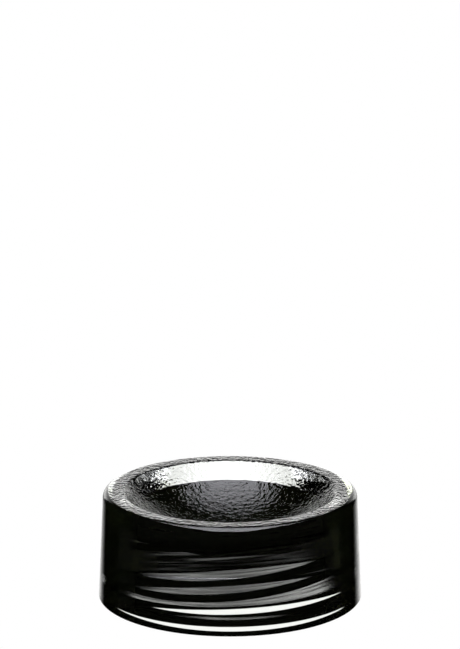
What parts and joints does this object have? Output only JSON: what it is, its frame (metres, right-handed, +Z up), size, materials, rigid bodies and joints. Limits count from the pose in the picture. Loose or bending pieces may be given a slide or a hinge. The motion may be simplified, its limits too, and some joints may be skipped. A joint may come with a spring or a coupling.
{
  "type": "tealight holder",
  "caption": "Squat round holder of thick clear glass with black glass swirls inside, a flat hammered rim and a shallow round dish for a tealight or votive candle.",
  "frame": {"origin": "centre of the foot ring, on the surface the holder stands on", "axes": "+Z up along the holder's axis, out of the dish; -Y faces the front, where the broadest trail climbs to the right"},
  "size_m": [0.096, 0.0959, 0.0395],
  "materials": {
    "clear_glass": "fire-polished, smooth on the wall and foot, hammered on the rim and in the dish",
    "black_glass": "sealed inside the clear glass, black where thick and olive to grey smoke where drawn thin"
  },
  "bodies": {
    "root": {"outer_casing": "clear_glass", "core_gather": "clear_glass", "top_gather": "clear_glass", "dark_pool": "black_glass", "trail_front_foot": "black_glass", "trail_front_thread": "black_glass", "trail_front_swoosh": "black_glass", "trail_front_middle": "black_glass", "trail_front_shoulder": "black_glass", "trail_front_rim": "black_glass", "trail_right_foot": "black_glass", "trail_right_low": "black_glass", "trail_right_thread": "black_glass", "trail_right_middle": "black_glass", "trail_right_shoulder": "black_glass", "trail_right_rim": "black_glass", "trail_left_foot": "black_glass", "trail_left_low": "black_glass", "trail_left_thread": "black_glass", "trail_left_middle": "black_glass", "trail_left_shoulder": "black_glass", "trail_left_rim": "black_glass"}
  },
  "joints": []
}
